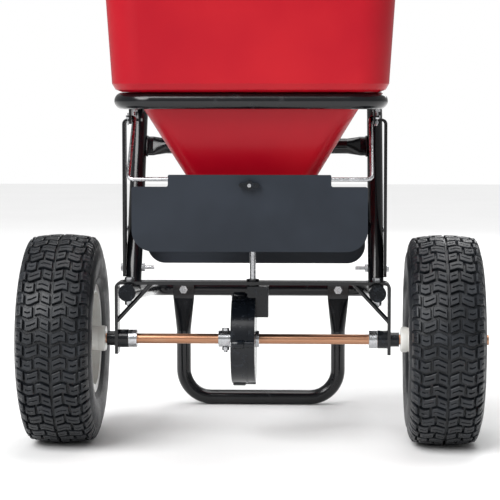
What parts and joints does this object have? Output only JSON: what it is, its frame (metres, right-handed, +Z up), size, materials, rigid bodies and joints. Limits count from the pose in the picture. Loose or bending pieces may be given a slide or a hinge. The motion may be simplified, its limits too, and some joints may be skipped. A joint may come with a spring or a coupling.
{
  "type": "garden spreader",
  "caption": "Walk-behind broadcast spreader: tube frame on pneumatic tyres, geared impeller under a red hopper, gate lever on the handle.",
  "frame": {"origin": "on the ground, at the middle of the footprint", "axes": "+Z up, +Y back towards the operator, +X to the right when seen from the front"},
  "size_m": [0.744, 1.0214, 1.0456],
  "materials": {
    "frame_black": "gloss powder coat",
    "zinc": "bright zinc",
    "gold_zinc": "yellow zinc",
    "black_plastic": "satin",
    "gear_steel": "machined",
    "red_plastic": "gloss",
    "wheel_white": "gloss white",
    "tyre_rubber": "matt",
    "black_rubber": "matt"
  },
  "bodies": {
    "frame": {"lower_frame": "frame_black", "frame_end_caps": "black_plastic", "side_tube_right": "frame_black", "side_tube_left": "frame_black", "hopper_hoop": "frame_black", "hoop_strap_right": "frame_black", "hoop_strap_left": "frame_black", "strap_bolts": "zinc", "cross_brace": "frame_black", "stand": "frame_black", "stand_bolts": "zinc", "axle_bracket": "frame_black", "bracket_braces": "frame_black", "bracket_bolts": "zinc", "axle_bushes": "black_plastic", "gear_case": "black_plastic", "gear_case_cover": "black_plastic", "gear_case_screws": "zinc", "shaft_bushes": "black_plastic", "hopper": "red_plastic", "hopper_screws": "zinc", "gate_guides": "black_plastic", "rear_shield": "black_plastic", "shield_screws": "zinc", "upper_handle": "frame_black", "handle_bolts": "zinc", "handle_grips": "black_rubber", "lever_bracket": "frame_black", "lever_pivot_bolt": "zinc"},
    "axle_set": {"axle": "gold_zinc", "axle_collars": "zinc", "axle_washers": "zinc", "axle_pins": "zinc", "drive_pin": "zinc", "gear_hub": "zinc", "gear_hub_bolt": "zinc", "crown_gear": "gear_steel", "wheel_rim_right": "wheel_white", "tyre_right": "tyre_rubber", "valve_right": "black_rubber"},
    "free_wheel": {"wheel_rim_left": "wheel_white", "tyre_left": "tyre_rubber", "valve_left": "black_rubber"},
    "impeller_set": {"impeller_shaft": "zinc", "agitator": "zinc", "impeller_pin": "zinc", "impeller": "black_plastic", "pinion": "gear_steel"},
    "bail": {"bail": "zinc", "bail_cotters": "zinc"},
    "deflector": {"deflector_panel": "black_plastic", "deflector_clamp": "black_plastic"},
    "knob": {"wing_knob": "black_plastic", "knob_screw": "zinc"},
    "lever": {"control_lever": "frame_black", "lever_knob": "black_plastic"},
    "link": {"gate_link": "zinc"},
    "gate": {"gate_plate": "zinc"},
    "stop": {"rate_stop": "black_plastic"}
  },
  "joints": [
    {"name": "axle_spin", "type": "hinge", "parent": "frame", "child": "axle_set", "pos_m": [0, -0.34375, 0.1651], "axis": [1, 0, 0], "continuous": true},
    {"name": "free_wheel_spin", "type": "hinge", "parent": "axle_set", "child": "free_wheel", "pos_m": [-0.3, -0.34375, 0.1651], "axis": [1, 0, 0], "continuous": true},
    {"name": "impeller_spin", "type": "hinge", "parent": "frame", "child": "impeller_set", "pos_m": [0, -0.34375, 0.326], "axis": [0, 0, 1], "continuous": true},
    {"name": "bail_swing", "type": "hinge", "parent": "frame", "child": "bail", "pos_m": [0, -0.36875, 0.515], "axis": [-1, 0, 0], "range_deg": [0, 40]},
    {"name": "deflector_swing", "type": "hinge", "parent": "bail", "child": "deflector", "pos_m": [0, -0.47255, 0.423], "axis": [-1, 0, 0], "range_deg": [0, 60]},
    {"name": "knob_turn", "type": "hinge", "parent": "deflector", "child": "knob", "pos_m": [0, -0.48375, 0.4145], "axis": [0, -1, 0], "range_deg": [0, 180]},
    {"name": "lever_swing", "type": "hinge", "parent": "frame", "child": "lever", "pos_m": [0, 0.45694, 0.92692], "axis": [1, 0, 0], "range_deg": [0, 35]},
    {"name": "link_swing", "type": "hinge", "parent": "lever", "child": "link", "pos_m": [0, 0.44191, 0.87923], "axis": [1, 0, 0], "range_deg": [-35, 0]},
    {"name": "gate_slide", "type": "slide", "parent": "frame", "child": "gate", "axis": [0, 1, 0], "range_m": [0, 0.0302]},
    {"name": "stop_swing", "type": "hinge", "parent": "frame", "child": "stop", "pos_m": [0, 0.45694, 0.92692], "axis": [-1, 0, 0], "range_deg": [0, 36]}
  ],
  "couplings": [
    {"joint": "impeller_spin", "follows": "axle_spin", "ratio": 5},
    {"joint": "link_swing", "follows": "lever_swing", "ratio": -1},
    {"joint": "gate_slide", "follows": "lever_swing", "m_per_rad": 0.049226}
  ]
}
